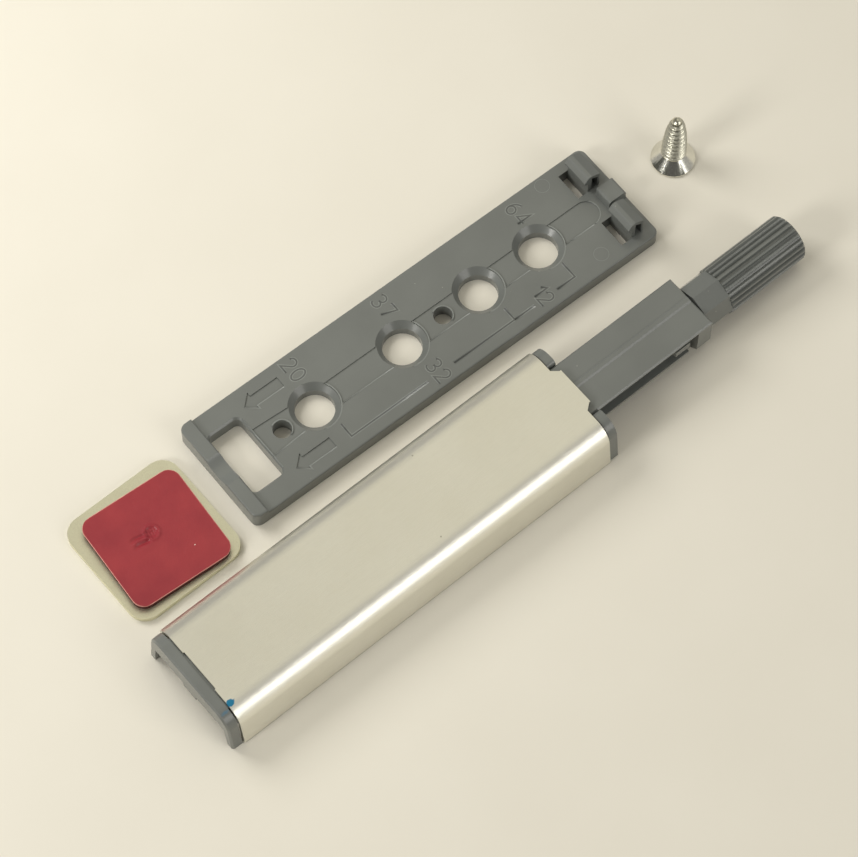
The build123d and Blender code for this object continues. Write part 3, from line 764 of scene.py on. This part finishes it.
def threaded_screw():
    """Rows climb the screw, columns go round it: first the head's cone, then the crest less the groove."""
    height = np.linspace(0, SCREW_HEIGHT, SCREW_ROWS)[:, None]
    angle = np.linspace(0, 2 * np.pi, SCREW_COLUMNS, endpoint=False)[None, :]
    stations = [0.0, HEAD_ROUND, HEAD_RIM, HEAD_RIM + HEAD_CONE]
    head = np.interp(height, stations, [HEAD_RADIUS - HEAD_ROUND, HEAD_RADIUS, HEAD_RADIUS, NECK_RADIUS])
    crest = np.interp(height, CREST_HEIGHTS, CREST_RADII)
    fade_in = np.clip((height - THREAD_START) / FADE_IN, 0, 1)
    fade_out = np.clip((SCREW_HEIGHT - height) / FADE_OUT, 0, 1)
    groove = 1 - thread_tooth(height / THREAD_PITCH - angle / (2 * np.pi))
    shaft = crest - THREAD_DEPTH * groove * fade_in * fade_out
    radius = np.where(height < HEAD_RIM + HEAD_CONE, np.maximum(head, NECK_RADIUS), shaft)
    x = SCREW_X + radius * np.cos(angle)
    y = SCREW_Y + radius * np.sin(angle)
    z = np.broadcast_to(height, x.shape)
    points = np.stack([x, y, z], axis=-1).reshape(-1, 3)
    return points, [face[::-1] for face in tube_faces(SCREW_ROWS, SCREW_COLUMNS)]


points, faces = threaded_screw()
screw = make_piece("screw_thread", points, faces, zinc)
screw.data.materials.append(zinc_thread)
screw.data.materials.append(zinc_groove_painted_shade)
middles = np.array([points[face].mean(axis=0) for face in faces])
turned = np.arctan2(middles[:, 1] - SCREW_Y, middles[:, 0] - SCREW_X) / (2 * np.pi)
# Faces deep in the groove take the darker zinc: painted shade in the recess.
in_groove = thread_tooth(middles[:, 2] / THREAD_PITCH - turned) < GROOVE_LEVEL
on_shaft = middles[:, 2] > THREAD_START
screw.data.polygons.foreach_set("material_index", (on_shaft * (1 + in_groove)).astype(np.int32))
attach(screw, "catch")
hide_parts("mounting_screw")

# %% [markdown]
# ## The red film and the foam pad
#
# The film was pressed by a fingertip and has a ringed dent with a crease that runs from
# it. A rounded square makes a grid without a pole: every row is straight, and only its
# half width changes, as the corner's circle asks. One height function gives the dent,
# and the foam below follows it, so that the two stay in touch.

# %% Rounded square with a dented top
PAD_CENTRE = np.array([-25.57, 23.2])
PAD_TURN = np.radians(-4.1)
PAD_SIDE = 17.0
LINER_SIDE = 17.2
CORNER = 2.1
STRIKE_TOP = 1.0
PAD_TOP = 2.1
LINER_THICKNESS = 0.15
GRID_STEPS = 180
DENT = np.array([-25.6, 24.3])
DENT_END = np.array([-28.6, 24.3])
LIFT = 0.10
LIFT_PLACE = np.array([8.0, -9.0])
LIFT_REACH = 2.2
EDGE_BAND = 0.13


def bell(value, centre, width):
    """A bell curve, 1 at its centre: e to the minus square of the distance over the width."""
    return np.exp(-((value - centre) / width) ** 2)


def dent_depth(x, y):
    """How far the top is pressed in: a ringed hollow, and two valleys with a ridge between."""
    along = DENT_END - DENT
    length = np.linalg.norm(along)
    along = along / length
    u = (x - DENT[0]) * along[0] + (y - DENT[1]) * along[1]
    v = -(x - DENT[0]) * along[1] + (y - DENT[1]) * along[0]
    distance = np.hypot(u, v)
    hollow = 0.26 * bell(distance, 0, 0.75)
    ring = 0.16 * bell(distance, 1.15, 0.28)
    crumple = 0.07 * np.sin(9 * x + 4 * y) * np.sin(7 * y - 5 * x) * bell(distance, 0, 0.9)
    inside = np.clip((u - 0.7) / 0.5, 0, 1) * np.clip((length + 0.8 - u) / 1.0, 0, 1)
    bend = v - 0.15 * np.sin(1.6 * u)
    valleys = 0.24 * bell(bend, 0.62, 0.26) + 0.19 * bell(bend, -0.62, 0.24)
    ridge_between = 0.11 * bell(bend, 0, 0.25)
    swell = 0.05 * bell(u, 2.2, 1.4) * bell(v, 1.5, 0.6)
    waves = 0.012 * np.sin(1.3 * x + 0.4 * y) * np.cos(1.1 * y - 0.3 * x)
    return hollow + crumple - ring + inside * (valleys - ridge_between) - swell + waves


def rounded_square(side):
    """Grid of points; a row's half width is half - r + sqrt(r^2 - d^2), d its depth into the corner."""
    half = side / 2
    step = np.linspace(-1, 1, GRID_STEPS)
    local_y = np.broadcast_to(half * step[:, None], (GRID_STEPS, GRID_STEPS))
    into_corner = np.clip(np.abs(local_y) - (half - CORNER), 0, CORNER)
    half_row = half - CORNER + np.sqrt(CORNER ** 2 - into_corner ** 2)
    local_x = half_row * step[None, :]
    x = PAD_CENTRE[0] + local_x * np.cos(PAD_TURN) - local_y * np.sin(PAD_TURN)
    y = PAD_CENTRE[1] + local_x * np.sin(PAD_TURN) + local_y * np.cos(PAD_TURN)
    rim_distance = np.minimum(half_row - np.abs(local_x), half - np.abs(local_y))
    return x, y, rim_distance


def slab(x, y, upper, lower):
    """A closed slab between two height grids; its wall follows the grid's border."""
    count = GRID_STEPS * GRID_STEPS
    sheets = [np.stack([x, y, height], axis=-1) for height in (upper, lower)]
    points = np.concatenate(sheets).reshape(-1, 3)
    top = grid_faces(GRID_STEPS, GRID_STEPS)[:, ::-1]
    index = np.arange(count).reshape(GRID_STEPS, GRID_STEPS)
    border = np.concatenate([index[0, :-1], index[:-1, -1], index[-1, :0:-1], index[:0:-1, 0]])
    following = np.roll(border, -1)
    wall = np.stack([border, border + count, following + count, following], axis=-1)
    return points, np.concatenate([top, top[:, ::-1] + count, wall]), len(wall)


def corner_lift(x, y):
    """The film's corner nearest the lip of the plate stands up a little from the pad."""
    corner = PAD_CENTRE + LIFT_PLACE
    return LIFT * bell(np.hypot(x - corner[0], y - corner[1]), 0, LIFT_REACH)


def dented_top(x, y, rim_distance):
    """Height of the pad's top: the dent fades out over the last millimetre before the rim."""
    return PAD_TOP - dent_depth(x, y) * np.clip(rim_distance, 0, 1)


film_x, film_y, film_rim = rounded_square(LINER_SIDE)
film_low = dented_top(film_x, film_y, film_rim) + corner_lift(film_x, film_y)
film_points, film_faces, wall_count = slab(film_x, film_y, film_low + LINER_THICKNESS, film_low)
film = make_piece("liner_film", film_points, film_faces, red_film)
film.data.materials.append(red_edge)
on_edge = np.zeros(len(film_faces), dtype=np.int32)
on_edge[-wall_count:] = 1
top_faces = film_faces[: (GRID_STEPS - 1) ** 2]
on_edge[: len(top_faces)] = film_rim.reshape(-1)[top_faces].max(axis=1) < EDGE_BAND
film.data.polygons.foreach_set("material_index", on_edge)

pad_x, pad_y, pad_rim = rounded_square(PAD_SIDE)
pad_high = dented_top(pad_x, pad_y, pad_rim)
pad_points, pad_faces, _ = slab(pad_x, pad_y, pad_high, np.full_like(pad_x, STRIKE_TOP))
pad = make_piece("foam_square", pad_points, pad_faces, dark_foam)
for piece, node_name, slot in ((film, "release_liner", "red_liner"), (pad, "adhesive_pad", "foam_pad")):
    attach(piece, "catch")
    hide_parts(node_name)

# %% [markdown]
# ## The drive spring
#
# The solid's spring is made of straight runs of wire. A true coil is a tube round a
# helix: the wire's circle is spanned by the direction away from the axis and the one
# square to both that and the wire.

# %% Coiled spring
SPRING_START = -32.15
SPRING_END = 21.75
SPRING_AXIS = 4.15
SPRING_RADIUS = 1.55
SPRING_WIRE = 0.2
SPRING_TURNS = 14
TURN_STEPS = 40
WIRE_SIDES = 12


def coiled_spring():
    """Rows follow the helix, columns go round the wire."""
    whole_turn = 2 * np.pi * SPRING_TURNS
    turn = whole_turn * np.linspace(0, 1, SPRING_TURNS * TURN_STEPS + 1)[:, None, None]
    x = SPRING_START + (SPRING_END - SPRING_START) * turn / whole_turn
    outward = np.concatenate([0 * turn, np.sin(turn), np.cos(turn)], axis=-1)
    middle = np.concatenate([x, 0 * turn, 0 * turn + SPRING_AXIS], axis=-1) + SPRING_RADIUS * outward
    advance = (SPRING_END - SPRING_START) / whole_turn
    parts = [0 * turn + advance, SPRING_RADIUS * np.cos(turn), -SPRING_RADIUS * np.sin(turn)]
    tangent = np.concatenate(parts, axis=-1)
    tangent /= np.linalg.norm(tangent, axis=-1, keepdims=True)
    sideways = np.cross(tangent, outward)
    around = np.linspace(0, 2 * np.pi, WIRE_SIDES, endpoint=False)[None, :, None]
    points = middle + SPRING_WIRE * (np.cos(around) * outward + np.sin(around) * sideways)
    return points.reshape(-1, 3), tube_faces(len(points), WIRE_SIDES)


points, faces = coiled_spring()
coil = make_piece("drive_coil", points, faces, steel)
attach(coil, "catch")
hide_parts("drive_spring")
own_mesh(coil)

# %% [markdown]
# ## Floor and light
#
# The pieces lie on a warm white sheet in a light room. Two soft lamps stand low, left and
# right of the viewer. The left one is stronger and throws the shadows up to the right.
# The right one puts the bright band on the cover's rounded edge. A third, near and weak,
# brightens the paper at the upper left and isn't mirrored by the metal. A fourth hangs
# where the flat metal mirrors it towards the viewer. The room is dim only low down behind
# the viewer: polished metal shows that as its dark reflections.


# %% Floor
FLOOR_HALF = 700.0
FLOOR_HEIGHT = -0.01


def pale_floor():
    """A wide plane with a paper-like colour, a faint mottle and a faint relief."""
    material, tree, shader = start("floor_paper", (0.735, 0.700, 0.615), 0.75, specular=0.2)
    peel = use_group(tree, grain, Stretch=(0.5, 0.5, 0.5), Depth=0.15)
    slow = use_group(tree, drift, Size=30.0)["Value"]
    colour = mix_colour(tree, slow, (0.725, 0.690, 0.605, 1), (0.745, 0.711, 0.627, 1))
    wire(tree, shader, colour, peel)
    signs = [(-1, -1), (1, -1), (1, 1), (-1, 1)]
    corners = [(x * FLOOR_HALF, y * FLOOR_HALF, FLOOR_HEIGHT) for x, y in signs]
    return make_piece("floor", corners, [(0, 1, 2, 3)], material, smooth=False)


pale_floor()


# %% Lamps
def soft_lamp(name, place, size, power, colour=(1, 1, 1)):
    """A square area lamp; place counts right, up and towards the camera, in metres."""
    data = bpy.data.lights.new(name, "AREA")
    data.shape = "SQUARE"
    data.size = size
    data.energy = power
    data.color = colour
    lamp = add_object(name, data)
    aim(lamp, TARGET + right * place[0] + up * place[1] + back * place[2])
    return lamp


LAMP_COLOUR = (1.0, 0.985, 0.94)
CEILING_COLOUR = (1.0, 0.93, 0.66)
soft_lamp("left_lamp", (-0.50, -0.16, 0.52), 0.22, 1.9, LAMP_COLOUR)
soft_lamp("right_lamp", (0.62, -0.20, 0.55), 0.46, 1.8, LAMP_COLOUR)
upper_lamp = soft_lamp("upper_lamp", (-0.20, 0.20, 0.15), 0.16, 0.58, LAMP_COLOUR)
upper_lamp.visible_glossy = False
soft_lamp("ceiling_lamp", (0.06, 0.66, 0.54), 0.70, 0.66, CEILING_COLOUR)

# %% Room
ROOM_COLOUR = (1.0, 0.975, 0.91, 1)
ROOM_STRENGTH = 0.41
DIM_ELEVATION = np.radians(24)
DIM_SPAN = (0.78, 0.93)
DIM_TO = (1.0, 0.28)
behind_viewer = (
    float(np.sin(AZIMUTH) * np.cos(DIM_ELEVATION)),
    float(-np.cos(AZIMUTH) * np.cos(DIM_ELEVATION)),
    float(np.sin(DIM_ELEVATION)),
)
world = bpy.data.worlds.new("room")
bpy.context.scene.world = world
world.use_nodes = True
room = world.node_tree
background = room.nodes["Background"]
direction = node(room, "ShaderNodeTexCoord").outputs["Generated"]
toward = vector_node(room, "DOT_PRODUCT", direction, behind_viewer)
strength = math_node(room, "MULTIPLY", map_range(room, toward, DIM_SPAN, DIM_TO), ROOM_STRENGTH)
room.links.new(strength, background.inputs["Strength"])
background.inputs["Color"].default_value = ROOM_COLOUR
print("room dim towards", [round(value, 2) for value in behind_viewer])
